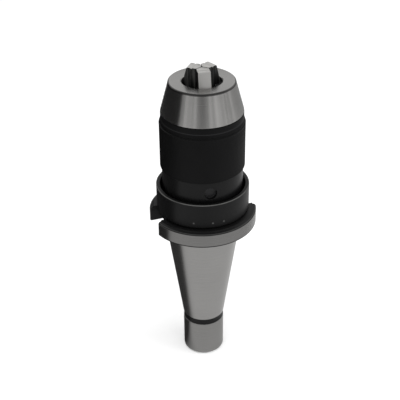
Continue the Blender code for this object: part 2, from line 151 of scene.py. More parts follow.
class SleeveSizes(bpy.types.PropertyGroup):
    """Sizes of the gripping sleeve and the ring under it."""

    land_radius: length("Land radius", 23.55 * MM, "Radius of the plain land under the hood")
    bore_radius: length("Bore radius", 22.2 * MM, "Inner radius of the sleeve")
    knurl_top: length("Knurl top", 160.0 * MM, "Height where the knurl ends")
    knurl_width: length("Knurl width", 0.8 * MM, "Width of one knurl point round the sleeve")
    knurl_depth: length("Knurl depth", 0.16 * MM, "Depth of the knurl's grooves")
    spanner_radius: length("Spanner hole radius", 3.7 * MM, "Radius of the ring's spanner hole")
    spanner_height: length("Spanner hole height", 125.9 * MM, "Height of the spanner hole's middle")
    spanner_depth: length("Spanner hole depth", 2.6 * MM, "Depth of the spanner hole")
    spanner_angle: bpy.props.FloatProperty(
        name="Spanner hole angle", description="Direction of the spanner hole round the axis",
        default=math.radians(262.0), subtype="ANGLE")


class Finishes(bpy.types.PropertyGroup):
    """Colours of the finishes."""

    ground: colour("Ground steel", (0.56, 0.552, 0.54), "Ground bright steel")
    black: colour("Black oxide", (0.0048, 0.0048, 0.0050), "Black oxide on steel")
    jaw: colour("Jaw steel", (0.56, 0.552, 0.535), "Hardened steel of the jaws")
    ball: colour("Bearing steel", (0.60, 0.60, 0.60), "Polished balls and races")
    brass: colour("Cage brass", (0.62, 0.43, 0.18), "Brass of the ball cage")
    rubber: colour("Seal rubber", (0.010, 0.010, 0.010), "Rubber of the dust seal")


class StageSettings(bpy.types.PropertyGroup):
    """Where the camera stands, and how bright the stage is."""

    azimuth: bpy.props.FloatProperty(
        name="Azimuth", description="Direction of the camera round the chuck",
        default=math.radians(FACING - 270), subtype="ANGLE")
    pitch: bpy.props.FloatProperty(
        name="Pitch", description="How far the camera looks down",
        default=math.radians(31.733), subtype="ANGLE")
    roll: bpy.props.FloatProperty(
        name="Roll", description="Turn of the camera about its line of sight",
        default=math.radians(-0.519), subtype="ANGLE")
    away: length("Distance", 466.6 * MM, "Distance of the camera from the chuck's axis, along the floor")
    height: length("Height", 396.3 * MM, "Height of the camera over the floor")
    aside: bpy.props.FloatProperty(
        name="Aside", description="Shift of the camera to its right", default=-1.62 * MM, unit="LENGTH")
    lens: bpy.props.FloatProperty(
        name="Focal length", description="Focal length on a 36 mm sensor, in millimetres", default=83.626)
    floor: colour("Floor", (0.90, 0.90, 0.90), "Colour of the floor")


# --- shaders ------------------------------------------------------------------------------
class Wire:
    """A number socket. Arithmetic on it adds Math nodes to its tree."""

    def __init__(self, look, socket):
        self.look = look
        self.socket = socket

    def maths(self, operation, *values, clamp=False):
        """Adds one Math node that works on these values."""
        settings = {"operation": operation, "use_clamp": clamp}
        node = self.look.node("ShaderNodeMath", settings, dict(enumerate(values)))
        return Wire(self.look, node.outputs[0])

    def __add__(self, other):
        return self.maths("ADD", self, other)

    __radd__ = __add__

    def __sub__(self, other):
        return self.maths("SUBTRACT", self, other)

    def __rsub__(self, other):
        return self.maths("SUBTRACT", other, self)

    def __mul__(self, other):
        return self.maths("MULTIPLY", self, other)

    __rmul__ = __mul__

    def __truediv__(self, other):
        return self.maths("DIVIDE", self, other)

    def around(self, other):
        """Angle of the direction whose two parts are this wire and another, from -pi to pi."""
        return self.maths("ARCTAN2", other, self)

    def root(self):
        """Square root."""
        return self.maths("SQRT", self)

    def over(self, edge, blur):
        """0 below the edge and 1 above it, with a ramp of this width between."""
        return self.maths("ADD", (self - edge) / blur, 0.5, clamp=True)

    def between(self, start, end, blur):
        """1 between two edges and 0 outside them."""
        return self.over(start, blur) * (1 - self.over(end, blur))


class Look:
    """A material's tree, with a Principled shader on its output."""

    def __init__(self, name, roughness, metallic, **uniform):
        self.material = bpy.data.materials.new(name)
        self.material.use_nodes = True
        self.tree = self.material.node_tree
        self.shader = self.tree.nodes["Principled BSDF"]
        self.shader.inputs["Roughness"].default_value = roughness
        self.shader.inputs["Metallic"].default_value = metallic
        for socket, value in uniform.items():
            self.shader.inputs[socket.replace("_", " ").title().replace("Ior", "IOR")].default_value = value
        place = self.node("ShaderNodeTexCoord")
        self.point = place.outputs["Object"]
        parts = self.node("ShaderNodeSeparateXYZ", inputs={0: self.point})
        self.x, self.y, self.z = (Wire(self, socket) for socket in parts.outputs)
        self.radius = (self.x * self.x + self.y * self.y).root()

    def node(self, kind, settings=None, inputs=None):
        """Adds a node of this type, with its settings first and then its sockets' values or links."""
        node = self.tree.nodes.new(kind)
        for key, value in (settings or {}).items():
            setattr(node, key, value)
        for key, value in (inputs or {}).items():
            self.feed(node.inputs[key], value)
        return node

    def feed(self, socket, value):
        """Links a socket to a wire or another socket, or sets its value."""
        if isinstance(value, Wire):
            self.tree.links.new(value.socket, socket)
        elif isinstance(value, bpy.types.NodeSocket):
            self.tree.links.new(value, socket)
        else:
            socket.default_value = value

    def noise(self, scale, detail=3.0, stretch=(1, 1, 1), roughness=0.5):
        """Noise from 0 to 1 on the object's own coordinates, stretched along each axis."""
        mapped = self.node("ShaderNodeMapping", inputs={"Vector": self.point, "Scale": stretch})
        made = self.node("ShaderNodeTexNoise", inputs={
            "Vector": mapped.outputs[0], "Scale": scale, "Detail": detail, "Roughness": roughness})
        return Wire(self, made.outputs[0])

    def rings(self, scale, along):
        """Noise that changes only along one number, as turned or ground lines do."""
        vector = self.node("ShaderNodeCombineXYZ", inputs={2: along})
        made = self.node("ShaderNodeTexNoise", inputs={
            "Vector": vector.outputs[0], "Scale": scale, "Detail": 2.0, "Roughness": 0.7})
        return Wire(self, made.outputs[0])

    def spot(self, radius, degrees, height, size):
        """1 in a small round spot on a wall of this radius, fading to 0 at its edge."""
        turn = math.radians(degrees)
        across = self.x - radius * math.cos(turn)
        along = self.y - radius * math.sin(turn)
        up = self.z - height
        return 1 - (across * across + along * along + up * up).root().over(size, size)

    def mix(self, factor, first, second):
        """A colour between two colours."""
        node = self.node("ShaderNodeMix", {"data_type": "RGBA"}, {0: factor, 6: first, 7: second})
        return node.outputs[2]

    def set(self, socket, value):
        """Feeds one socket of the Principled shader."""
        self.feed(self.shader.inputs[socket], value)

    def bump(self, height, distance, strength=1.0):
        """Sets the normal from a height map. The distance is in metres."""
        node = self.node("ShaderNodeBump", inputs={
            "Height": height, "Distance": distance, "Strength": strength})
        self.set("Normal", node.outputs[0])


def rgba(value):
    """A colour with full alpha."""
    return (*value, 1.0)


def scaled(value, by):
    """A colour made darker or lighter."""
    return tuple(min(1.0, part * by) for part in value)


def blend(share, first, second):
    """A number between two numbers, any of them a wire."""
    return first + share * (second - first)


def finishes():
    """The colours that the scene holds."""
    return bpy.context.scene.chuck_finishes


def ground_steel():
    """Ground bright steel: fine rings round the axis and faint stains, with painted shade that darkens the
    hood's face and a dark ring painted round the face's rounded edge as a painted dark reflection.
    """
    base = finishes().ground
    look = Look("ground_steel", 0.26, 1.0, anisotropic=0.7, anisotropic_rotation=0.25)
    along = look.z + look.radius * 0.6
    fine = look.rings(9000, along)
    stain = look.noise(60, 3.0)
    bright = look.mix(stain, rgba(scaled(base, 0.9)), rgba(scaled(base, 1.08)))
    top, edge = high("hood").z, bpy.context.scene.chuck_hood.face_radius
    # painted shade: the hood's flat face is made darker than the rest of the hood
    bright = look.mix(look.z.over(top - 0.2 * MM, 0.1 * MM), bright, rgba(scaled(base, 0.78)))
    # painted dark reflection: a dark ring painted round the rounded edge between the face and the cone
    ring = look.radius.over(edge + 0.15 * MM, 0.4 * MM)
    ring = ring * look.z.between(top - 1.2 * MM, top + MM, 0.3 * MM)
    look.set("Base Color", look.mix(ring * 0.85, bright, rgba(scaled(base, 0.12))))
    look.set("Roughness", blend(fine, 0.17, 0.29) + stain * 0.04)
    look.bump(fine, 0.004 * MM)
    return look.material


def shank_steel():
    """Black oxide with the pilot, the taper and the flange's rim ground bright.

    Highlights are painted in a paler tone on the collar's upper edge and the flange's lip, with three painted
    glints on the collar.
    """
    colours = finishes()
    sizes = bpy.context.scene.chuck_shank
    look = Look("shank_steel", 0.28, 1.0, anisotropic=0.6, anisotropic_rotation=0.25,
                specular_ior_level=0.3)
    blur = 0.12 * MM
    fine_blur = 0.1 * MM
    pilot = look.z.between(0.8 * MM, sizes.pilot_top, blur)
    taper = look.z.between(sizes.taper_foot, sizes.flange_foot - 0.15 * MM, blur)
    outside = look.radius.over(12.0 * MM, blur)
    rim = look.z.between(sizes.flange_foot + 0.9 * MM, sizes.rim_top, blur)
    rim = rim * look.radius.over(sizes.flange_radius - 0.3 * MM, blur)
    bare = (pilot + taper) * outside + rim
    fine = look.rings(9000, look.z)
    stain = look.noise(45, 4.0)
    bright = look.mix(stain, rgba(scaled(colours.ground, 0.9)), rgba(scaled(colours.ground, 1.05)))
    bright = look.mix(rim + pilot * 0.6, bright, rgba(scaled(colours.ground, 0.62)))
    # painted highlight: a pale line painted on the collar's upper edge, broken up by noise
    highlight_breakup = look.noise(90, 2.0).over(0.42, 0.3)
    painted_highlights = look.radius.over(sizes.collar_radius - 0.42 * MM, fine_blur)
    painted_highlights = painted_highlights * look.z.over(sizes.collar_top - 0.4 * MM, fine_blur)
    # painted highlight on the chamfer at the flange's lip
    lip_highlight = look.radius.between(sizes.flange_radius - 0.8 * MM, sizes.flange_radius - 0.35 * MM, fine_blur)
    lip_highlight = lip_highlight * look.z.between(sizes.rim_top + 0.2 * MM, sizes.rim_top + 1.0 * MM, fine_blur)
    dark = look.mix(stain, rgba(scaled(colours.black, 0.8)), rgba(scaled(colours.black, 1.3)))
    painted_highlights = painted_highlights * (highlight_breakup * 0.6 + 0.4)
    # painted glints: three small pale spots painted on the collar
    for degrees in GLINT_DIRECTIONS:
        painted_highlights = painted_highlights + look.spot(sizes.collar_radius, degrees, GLINT_HEIGHT, GLINT_SIZE)
    # paints the highlights and glints in a pale tone over the black oxide
    dark = look.mix(painted_highlights + lip_highlight * 0.35, dark, rgba(PAINTED_HIGHLIGHT_TONE))
    look.set("Base Color", look.mix(bare, dark, bright))
    look.set("Metallic", bare)
    look.set("Roughness", blend(bare, 0.33, 0.24) + fine * 0.07)
    look.bump(fine, 0.004 * MM)
    return look.material


def black_oxide(name, roughness, lines=0.004, shade=1.0, gloss=0.16, paler_inside=0.0, edge=0.0):
    """Black oxide on turned steel, with a highlight line painted paler at a height, and painted light that
    makes the floor paler inside a radius.

    lines is the depth of the turning marks in millimetres, and shade makes the whole colour paler. edge is
    the height of the painted highlight line, and paler_inside the radius inside which the floor is painted
    paler as painted light.
    """
    base = scaled(finishes().black, shade)
    look = Look(name, roughness, 0.0, specular_ior_level=gloss)
    fine = look.rings(5000, look.z + look.radius * 0.6)
    cloud = look.noise(70, 4.0)
    tone = look.mix(cloud, rgba(scaled(base, 0.75)), rgba(scaled(base, 1.35)))
    if paler_inside:
        # painted light: inside this radius the oxide is made five times paler, lighting the floor of a shaded
        # hollow
        tone = look.mix(look.radius.over(paler_inside, 0.3 * MM), rgba(scaled(base, 5)), tone)
    if edge:
        # painted highlight: a line four times paler than the oxide, painted at this height
        highlight_line = look.z.between(edge - 0.1 * MM, edge + 0.4 * MM, 0.2 * MM)
        tone = look.mix(highlight_line, tone, rgba(scaled(base, 4)))
    look.set("Base Color", tone)
    look.set("Roughness", blend(cloud, roughness - 0.05, roughness + 0.06) + fine * 0.04)
    look.bump(fine, lines * MM)
    return look.material


def jaw_steel():
    """Hardened steel of the jaws: ground bright on the faces marked so, and dark and streaked elsewhere."""
    base = finishes().jaw
    look = Look("jaw_steel", 0.3, 0.6, specular_ior_level=0.3)
    ground = Wire(look, look.node("ShaderNodeAttribute", {"attribute_name": "ground"}).outputs["Fac"])
    grain = look.noise(500, 4.0, (1, 1, 0.12))
    stain = look.noise(150, 2.0)
    streak = look.noise(900, 3.0, (1, 1, 0.06)).over(0.56, 0.2)
    bright = look.mix(stain, rgba(scaled(base, 0.88)), rgba(scaled(base, 1.08)))
    scale, scratch = (0.006, 0.006, 0.006), (0.05, 0.05, 0.048)
    dark = look.mix(streak, rgba(scale), rgba(scratch))
    look.set("Base Color", look.mix(ground, dark, bright))
    look.set("Metallic", ground * 0.6)
    look.set("Roughness", blend(grain, 0.24, 0.40))
    look.bump(grain, 0.01 * MM)
    return look.material


def bearing_steel():
    """Polished bearing steel."""
    base = finishes().ball
    look = Look("bearing_steel", 0.1, 1.0)
    haze = look.noise(300, 3.0)
    look.set("Base Color", look.mix(haze, rgba(scaled(base, 0.93)), rgba(scaled(base, 1.05))))
    look.set("Roughness", blend(haze, 0.06, 0.16))
    return look.material


def cage_brass():
    """Stamped brass, slightly tarnished."""
    base = finishes().brass
    look = Look("cage_brass", 0.3, 1.0)
    tarnish = look.noise(200, 4.0)
    look.set("Base Color", look.mix(tarnish, rgba(scaled(base, 0.7)), rgba(scaled(base, 1.1))))
    look.set("Roughness", blend(tarnish, 0.22, 0.42))
    look.bump(tarnish, 0.01 * MM)
    return look.material


def seal_rubber():
    """Matt rubber."""
    base = finishes().rubber
    look = Look("seal_rubber", 0.7, 0.0)
    grain = look.noise(900, 3.0)
    look.set("Base Color", look.mix(grain, rgba(scaled(base, 0.8)), rgba(scaled(base, 1.4))))
    look.set("Roughness", blend(grain, 0.6, 0.85))
    look.bump(grain, 0.02 * MM)
    return look.material


# --- surfaces -----------------------------------------------------------------------------
def piece(name, material, *parts):
    """One object from grids of points, each a (rows, columns, 3) array whose columns may close on themselves.

    A part is (points, closed columns). Neighbouring points of a grid are joined into four-sided faces, points
    that fall together are merged, and the faces of the closed result are turned outwards.
    """
    points, faces, start = [], [], 0
    for grid, closed in parts:
        rows, columns = grid.shape[:2]
        index = start + np.arange(rows * columns).reshape(rows, columns)
        if closed:
            index = np.column_stack((index, index[:, 0]))
        corners = (index[:-1, :-1], index[:-1, 1:], index[1:, 1:], index[1:, :-1])
        faces.append(np.stack(corners, -1).reshape(-1, 4))
        points.append(grid.reshape(-1, 3))
        start += rows * columns
    mesh = bpy.data.meshes.new(name)
    mesh.from_pydata(np.concatenate(points), [], np.concatenate(faces).tolist())
    weld = bmesh.new()
    weld.from_mesh(mesh)
    bmesh.ops.remove_doubles(weld, verts=weld.verts, dist=MERGE)
    bmesh.ops.dissolve_degenerate(weld, edges=weld.edges, dist=MERGE)
    bmesh.ops.recalc_face_normals(weld, faces=weld.faces)
    weld.to_mesh(mesh)
    weld.free()
    mesh.shade_smooth()
    mesh.set_sharp_from_angle(angle=SHARP)
    mesh.materials.append(material)
    obj = bpy.data.objects.new(name, mesh)
    bpy.context.scene.collection.objects.link(obj)
    return obj


def stand_in(obj, node, body):
    """A new piece that stands for a node of the frame and rides on its body."""
    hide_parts(node)
    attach(obj, body)
    return obj


def rounded(corners, steps=4):
    """A (radius, height) outline whose corners are arcs.

    corners are (radius, height, corner radius). Each arc touches the two straight runs at the corner radius
    over the tangent of half the corner's angle, and its points turn evenly about its own middle.
    """
    corners = np.array(corners, float)
    outline = []
    for before, here, after in zip(np.roll(corners, 1, 0), corners, np.roll(corners, -1, 0)):
        place, arc = here[:2], here[2]
        back, on = before[:2] - place, after[:2] - place
        reach_back, reach_on = np.linalg.norm(back), np.linalg.norm(on)
        if arc <= 0 or not reach_back or not reach_on:
            outline.append(place)
            continue
        back, on = back / reach_back, on / reach_on
        half = math.acos(np.clip(back @ on, -1, 1)) / 2
        if half > math.radians(85):
            outline.append(place)
            continue
        cut = min(arc / math.tan(half), 0.49 * reach_back, 0.49 * reach_on)
        arc = cut * math.tan(half)
        middle = place + (back + on) / np.linalg.norm(back + on) * arc / math.sin(half)
        start, end = place + back * cut - middle, place + on * cut - middle
        first = math.atan2(start[1], start[0])
        sweep = (math.atan2(end[1], end[0]) - first + math.pi) % TURN - math.pi
        turns = first + sweep * np.linspace(0, 1, steps + 1)
        outline.extend(middle + arc * np.column_stack((np.cos(turns), np.sin(turns))))
    return np.array(outline)


def angles(columns):
    """Evenly spaced angles of one full turn."""
    return np.arange(columns) * TURN / columns


def swept(radius, height, turns):
    """Points at these radii, heights and angles, one row for each height."""
    radius, height, turns = np.broadcast_arrays(radius, height, turns)
    return np.stack((radius * np.cos(turns), radius * np.sin(turns), height), -1)


def turned(name, material, corners, columns=160, closed=True):
    """A solid of revolution: the rounded outline carried round Z.

    A closed outline makes a ring, and an open one starts and ends on the axis.
    """
    outline = rounded(corners)
    if closed:
        outline = np.vstack((outline, outline[:1]))
    grid = swept(outline[:, :1], outline[:, 1:], angles(columns)[None])
    return piece(name, material, (grid, True))


def make_shank():
    """Pilot, taper, slotted flange, collar and neck as one closed surface.

    The outline is carried round Z on two kinds of column. Outside a drive slot a column of the flange turns
    evenly between the slots' walls, whose points all lie half a slot's width off the X axis. Inside a slot
    the flange's points are pulled in to the slot's floor, so that its walls and floor are flat. In the
    drawbar hole the radius also rises and falls with height less angle, which makes the thread.
    """
    s = bpy.context.scene.chuck_shank
    edge, fine = 0.4 * MM, 0.15 * MM
    step = s.slot_top
    hair = 1e-6                           # a height too small to see, so that the slot ends in a step
    flange = s.flange_radius
    neck_top = s.neck_shoulder + 10.8 * MM
    chamfer = 1.0 * MM
    centre_radius = 9.2 * MM              # of the cone that leads into the drawbar hole
    thread_start, thread_end = 4.0 * MM, s.drawbar_depth - 5 * MM
    corners = [
        (0, s.bore_floor, 0),
        (s.bore_radius, s.bore_floor, fine),
        (s.bore_radius, neck_top - edge, edge),
        (s.bore_radius + edge, neck_top, fine),
        (s.neck_thread - edge, neck_top, fine),
        (s.neck_thread, neck_top - edge, fine),
        (s.neck_thread, s.neck_shoulder, fine),
        (s.neck_radius, s.neck_shoulder, fine),
        (s.neck_radius, s.pocket_floor, edge),
        (s.pocket_radius, s.pocket_floor, edge),
        (s.pocket_radius, s.collar_top - edge, fine),
        (s.pocket_radius + edge, s.collar_top, fine),
        (s.collar_radius - edge, s.collar_top, fine),
        (s.collar_radius, s.collar_top - edge, fine),
        (s.collar_radius, s.collar_foot, fine),
        (s.relief_radius, s.collar_foot, fine),
        (s.relief_radius, step, 0),
        (s.relief_radius, step - hair, 0),
        (s.relief_radius, s.flange_top, 0),
        (s.flange_land, s.flange_top, fine),
        (s.flange_land + 0.3 * MM, s.flange_top - 0.65 * MM, fine),
        (flange - 0.6 * MM, s.flange_top - 1.15 * MM, fine),
        (flange, s.rim_top, fine),
        (flange, s.flange_foot + edge, fine),
        (flange - edge, s.flange_foot, fine),
        (s.slot_floor + 0.4 * MM, s.flange_foot, 0),
        (s.taper_top_radius, s.flange_foot, 0),
        (s.taper_foot_radius, s.taper_foot, fine),
        (s.undercut_radius, s.taper_foot, fine),
        (s.undercut_radius, s.pilot_top, fine),
        (s.pilot_radius, s.pilot_top, fine),
        (s.pilot_radius, chamfer, edge),
        (s.pilot_radius - chamfer, 0, fine),
        (centre_radius, 0, fine),
        (s.drawbar_radius + 0.1 * MM, thread_start - 0.2 * MM, 0),
    ]
    outline = rounded(corners)
    thread_z = np.arange(thread_start, thread_end, s.drawbar_pitch / 8)
    thread = np.column_stack((np.full(len(thread_z), s.drawbar_radius), thread_z))
    foot = [(s.drawbar_radius, s.drawbar_depth), (0, s.drawbar_depth + 4 * MM)]
    outline = np.vstack((outline, thread, foot))
    radius, height = outline[:, :1], outline[:, 1:]
    half = s.slot_width / 2
    mouth = math.sqrt(flange**2 - half**2) - s.slot_break
    slotted = (height > s.flange_foot - hair) & (height < step - hair / 2) & (radius > s.slot_floor)
    out_radius = np.where(slotted, radius, s.taper_top_radius)
    # where the slot's wall, or the 45 degree chamfer at its mouth, meets the radius
    skew = mouth - half
    flare = (np.sqrt(np.maximum(2 * out_radius**2 - skew**2, 0)) - skew) / 2
    meet = np.where(np.sqrt(out_radius**2 - half**2) > mouth, flare, half)
    wall = np.arcsin(meet / out_radius)
    inside = np.linspace(-1, 1, 13)[None]
    outside = np.linspace(0, 1, 85)[None]
    in_turn = np.where(slotted, np.arctan2(inside * half, s.slot_floor), inside * wall)
    in_radius = np.where(slotted, np.hypot(inside * half, s.slot_floor), radius)
    flat_end = np.minimum(mouth, np.sqrt(out_radius**2 - half**2))
    break_turn = np.where(slotted, np.arctan2(half, flat_end), wall)
    break_radius = np.where(slotted, np.hypot(half, flat_end), radius)
    out_turn = wall + outside * (math.pi - 2 * wall)
    turns = np.hstack((-break_turn, in_turn, break_turn, out_turn))
    radii = np.hstack((break_radius, in_radius, break_radius, np.repeat(radius, outside.size, 1)))
    turns, radii = np.hstack((turns, turns + math.pi)), np.hstack((radii, radii))
    threaded = (height > thread_start - hair) & (height < thread_end)
    threaded = threaded & (radius < s.drawbar_radius + hair)
    phase = (height / s.drawbar_pitch - turns / TURN) % 1
    steepness, flat_share, thread_depth = 2.6, 1.15, 0.95 * MM
    groove = np.clip(flat_share - np.abs(phase - 0.5) * steepness, 0, 1) * thread_depth
    radii = radii + np.where(threaded, groove, 0)
    grid = swept(radii, height, turns)
    obj = piece("shank_body", shank_steel(), (grid, True))
    return stand_in(obj, "shank", "shank")


def make_hood():
    """Conical hood: a rounded outline carried round Z."""
    s = bpy.context.scene.chuck_hood
    foot, top = low("hood").z, high("hood").z
    roof = top - s.face
    fine = 0.15 * MM

    def cone(height):
        return s.foot_radius - (height - foot) * s.slope

    obj = turned("hood_cap", ground_steel(), [
        (s.mouth_radius + 0.55 * MM, top, fine),
        (s.face_radius, top, 0.3 * MM),
        (s.face_radius + 0.7 * MM, top - 0.5 * MM, 0.9 * MM),
        (cone(top - 1.3 * MM), top - 1.3 * MM, 0.5 * MM),
        (s.foot_radius, foot, fine),
        (s.foot_radius - s.wall, foot, fine),
        (cone(roof) - s.wall, roof, fine),
        (s.mouth_radius + 0.7 * MM, roof, fine),
        (s.mouth_radius, top - 0.5 * MM, fine),
    ], 200)
    return stand_in(obj, "hood", "sleeve")


def make_sleeve():
    """Gripping sleeve with a diamond knurl.

    The knurl's height at an angle and a height is one less the larger distance to the middles of two crossing
    families of grooves, which gives small pyramids. It is pressed into the outer wall only.
    """
    s = bpy.context.scene.chuck_sleeve
    foot, top, outer = low("sleeve").z, high("sleeve").z, high("sleeve").y
    fine = 0.12 * MM
    land_foot = s.knurl_top + 2.9 * MM
    upper = rounded([
        (s.bore_radius, s.knurl_top, 0),
        (s.bore_radius, top, fine),
        (s.land_radius, top, fine),
        (s.land_radius, land_foot, fine),
        (outer - 0.4 * MM, s.knurl_top + 1.3 * MM, fine),
        (outer - 0.6 * MM, s.knurl_top + 1.0 * MM, fine),
        (outer - 0.6 * MM, s.knurl_top + 0.4 * MM, fine),
        (outer, s.knurl_top, 0),
    ])
    point_height = s.knurl_width * math.sqrt(3)
    rows = round((s.knurl_top - foot) / point_height * 4)
    knurled_z = np.linspace(s.knurl_top, foot + 0.3 * MM, rows + 1)
    knurled = np.column_stack((np.full(rows + 1, outer), knurled_z))
    lower = rounded([
        (outer, foot + 0.3 * MM, 0),
        (outer - 0.3 * MM, foot, fine),
        (s.bore_radius, foot, fine),
        (s.bore_radius, s.knurl_top, 0),
    ])
    outline = np.vstack((upper, knurled, lower))
    points = round(TURN * outer / s.knurl_width)
    turns = angles(points * 4)[None]
    radius, height = outline[:, :1], outline[:, 1:]
    across = turns / TURN * points
    along = (height - s.knurl_top) / point_height
    first = np.abs((across + along) % 1 - 0.5) * 2
    second = np.abs((across - along) % 1 - 0.5) * 2
    groove = np.maximum(first, second)
    rim = np.clip(np.minimum(s.knurl_top - height, height - foot) / (0.5 * MM), 0, 1)
    on_wall = radius > outer - 0.01 * MM
    radius = radius - np.where(on_wall, groove * rim * s.knurl_depth, 0)
    grid = swept(radius, height, turns)
    # painted highlight: a pale line at the land's foot, where a highlight falls on the fillet
    material = black_oxide("knurled_oxide", 0.42, gloss=0.12, edge=land_foot)
    obj = piece("grip_sleeve", material, (grid, True))
    return stand_in(obj, "sleeve", "sleeve")


def make_bearing_ring():
    """Ring under the sleeve, with a blind spanner hole.

    The outer wall is left open in a window round the hole. A patch runs from the window's edge to the hole's
    circle, each point moving in a straight line on the unrolled wall, and then down the hole to its middle.
    """
    s = bpy.context.scene.chuck_sleeve
    foot, top, outer = low("bearing_ring").z, high("bearing_ring").z, high("bearing_ring").y
    shoulder = low("sleeve").z - GAP
    seal = (low("dust_seal").z + high("dust_seal").z) / 2
    seal_half = 1.0 * MM                  # half the height of the seal's groove
    bore, cup, spigot, seat = 14.5 * MM, 20.1 * MM, 21.9 * MM, 16.9 * MM
    cup_floor = 113.0 * MM
    fine, edge = 0.15 * MM, 0.35 * MM
    columns, patch_rows = 192, 12
    window = 1.45 * s.spanner_radius      # half the height of the window, and about half its width
    pitch = TURN / columns
    wide = max(2, round(window / outer / pitch))
    centre = s.spanner_angle
    wall_top, wall_foot = shoulder - 0.3 * MM, foot + edge + 0.3 * MM
    z_top, z_foot = s.spanner_height + window, s.spanner_height - window
    heights = np.linspace(z_top, z_foot, patch_rows + 1)
    inner = rounded([
        (outer, wall_foot, 0),
        (outer, foot + edge, fine),
        (outer - edge, foot, fine),
        (bore, foot, fine),
        (bore, seal - seal_half, 0),
        (seat, seal - seal_half, 0),
        (seat, seal + seal_half, 0),
        (bore, seal + seal_half, 0),
        (bore, cup_floor, fine),
        (cup, cup_floor, edge),
        (cup, top, fine),
        (spigot, top, fine),
        (spigot, shoulder, fine),
        (outer, shoulder, fine),
        (outer, wall_top, 0),
    ])
    # one turn of columns that starts and ends at the window's sides
    round_turns = centre + (np.arange(columns - 2 * wide + 1) + wide) * pitch
    whole_turns = centre + (np.arange(columns + 1) + wide) * pitch
    shell = swept(inner[:, :1], inner[:, 1:], whole_turns[None])
    above = swept(outer, np.array([[wall_top], [z_top]]), whole_turns[None])
    below = swept(outer, np.array([[z_foot], [wall_foot]]), whole_turns[None])
    beside = swept(outer, heights[:, None], round_turns[None])
    side = np.linspace(-wide, wide, 2 * wide + 1) * pitch * outer
    up = heights - s.spanner_height
    loop = np.concatenate([
        np.column_stack((side, np.full(side.size, up[0]))),
        np.column_stack((np.full(up.size, side[-1]), up))[1:],
        np.column_stack((side[::-1], np.full(side.size, up[-1])))[1:],
        np.column_stack((np.full(up.size, side[0]), up[::-1]))[1:-1],
    ])
    way = np.arctan2(loop[:, 1], loop[:, 0])
    circle = np.column_stack((np.cos(way), np.sin(way)))
    lead, corner = 0.25 * MM, 0.3 * MM    # bevels at the hole's mouth and round its floor
    shares = np.linspace(0, 1, 6)[:, None, None]
    flat = loop * (1 - shares) + circle * (s.spanner_radius + lead) * shares
    deep = outer - s.spanner_depth
    well = [(s.spanner_radius, outer - lead), (s.spanner_radius, deep + corner),
            (s.spanner_radius - corner, deep), (0.0, deep)]
    patch = swept(outer, flat[..., 1] + s.spanner_height, centre + flat[..., 0] / outer)
    hole = np.stack([hole_ring(circle * r, depth, centre, s.spanner_height) for r, depth in well])
    # painted light: the spanner hole's floor is made paler where it lies in shade
    material = black_oxide("ring_oxide", 0.27, gloss=0.28, paler_inside=deep + 0.4 * MM)
    obj = piece("bearing_ring_body", material,
                (shell, False), (above, False), (below, False), (beside, False),
                (np.concatenate((patch, hole)), True))
    return stand_in(obj, "bearing_ring", "sleeve")


def hole_ring(flat, depth, turn, height):
    """A loop of a radial hole: flat points laid square to the radius at this depth and angle."""
    x = depth * math.cos(turn) - flat[:, 0] * math.sin(turn)
    y = depth * math.sin(turn) + flat[:, 0] * math.cos(turn)
    return np.column_stack((x, y, height + flat[:, 1]))


def softened(node, name, material, width):
    """A copy of a node of the frame, with flat faces joined and sharp edges broken by a small bevel."""
    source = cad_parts[node]
    mesh = source.data.copy()
    mesh.materials.clear()
    weld = bmesh.new()
    weld.from_mesh(mesh)
    bmesh.ops.remove_doubles(weld, verts=weld.verts, dist=MERGE * 5)
    flat = math.radians(0.2)
    bmesh.ops.dissolve_limit(weld, angle_limit=flat, verts=weld.verts, edges=weld.edges)
    weld.to_mesh(mesh)
    weld.free()
    mesh.name = name
    mesh.materials.append(material)
    obj = bpy.data.objects.new(name, mesh)
    bpy.context.scene.collection.objects.link(obj)
    bevel = obj.modifiers.new("Broken edges", "BEVEL")
    bevel.width = width
    bevel.segments = 2
    bevel.limit_method = "ANGLE"
    bevel.angle_limit = SHARP
    bevel.harden_normals = True
    mesh.shade_smooth()
    return obj


def mark_ground(mesh):
    """Marks a jaw's top and back, whose faces look up or away from the axis, as ground bright."""
    count = len(mesh.polygons)
    normals, middles = np.empty(count * 3), np.empty(count * 3)
    mesh.polygons.foreach_get("normal", normals)
    mesh.polygons.foreach_get("center", middles)
    normals, middles = normals.reshape(-1, 3), middles.reshape(-1, 3)
    reach = np.hypot(middles[:, 0], middles[:, 1])
    outward = (normals[:, :2] * middles[:, :2]).sum(1) / np.maximum(reach, MERGE)
    least_up, least_out = 0.6, 0.9
    ground = (normals[:, 2] > least_up) | (outward > least_out)
    mesh.attributes.new("ground", "FLOAT", "FACE").data.foreach_set("value", ground.astype(np.float32))


def make_jaws():
    """The three jaws, with broken edges."""
    material = jaw_steel()
    for index in (1, 2, 3):
        node = f"jaw_{index}"
        obj = softened(node, f"gripping_jaw_{index}", material, 0.2 * MM)
        mark_ground(obj.data)
        stand_in(obj, node, node)


def make_core():
    """The jaw guide and the drive screw."""
    # painted light: the guide's and the screw's black is made five times paler, lifting them in the shade
    # inside the hood's mouth
    material = black_oxide("core_oxide", 0.35, shade=5.0)
    for node, name, body in (("jaw_guide", "jaw_guide_core", "sleeve"),
                             ("drive_screw", "drive_screw_body", "screw")):
        stand_in(softened(node, name, material, 0.15 * MM), node, body)


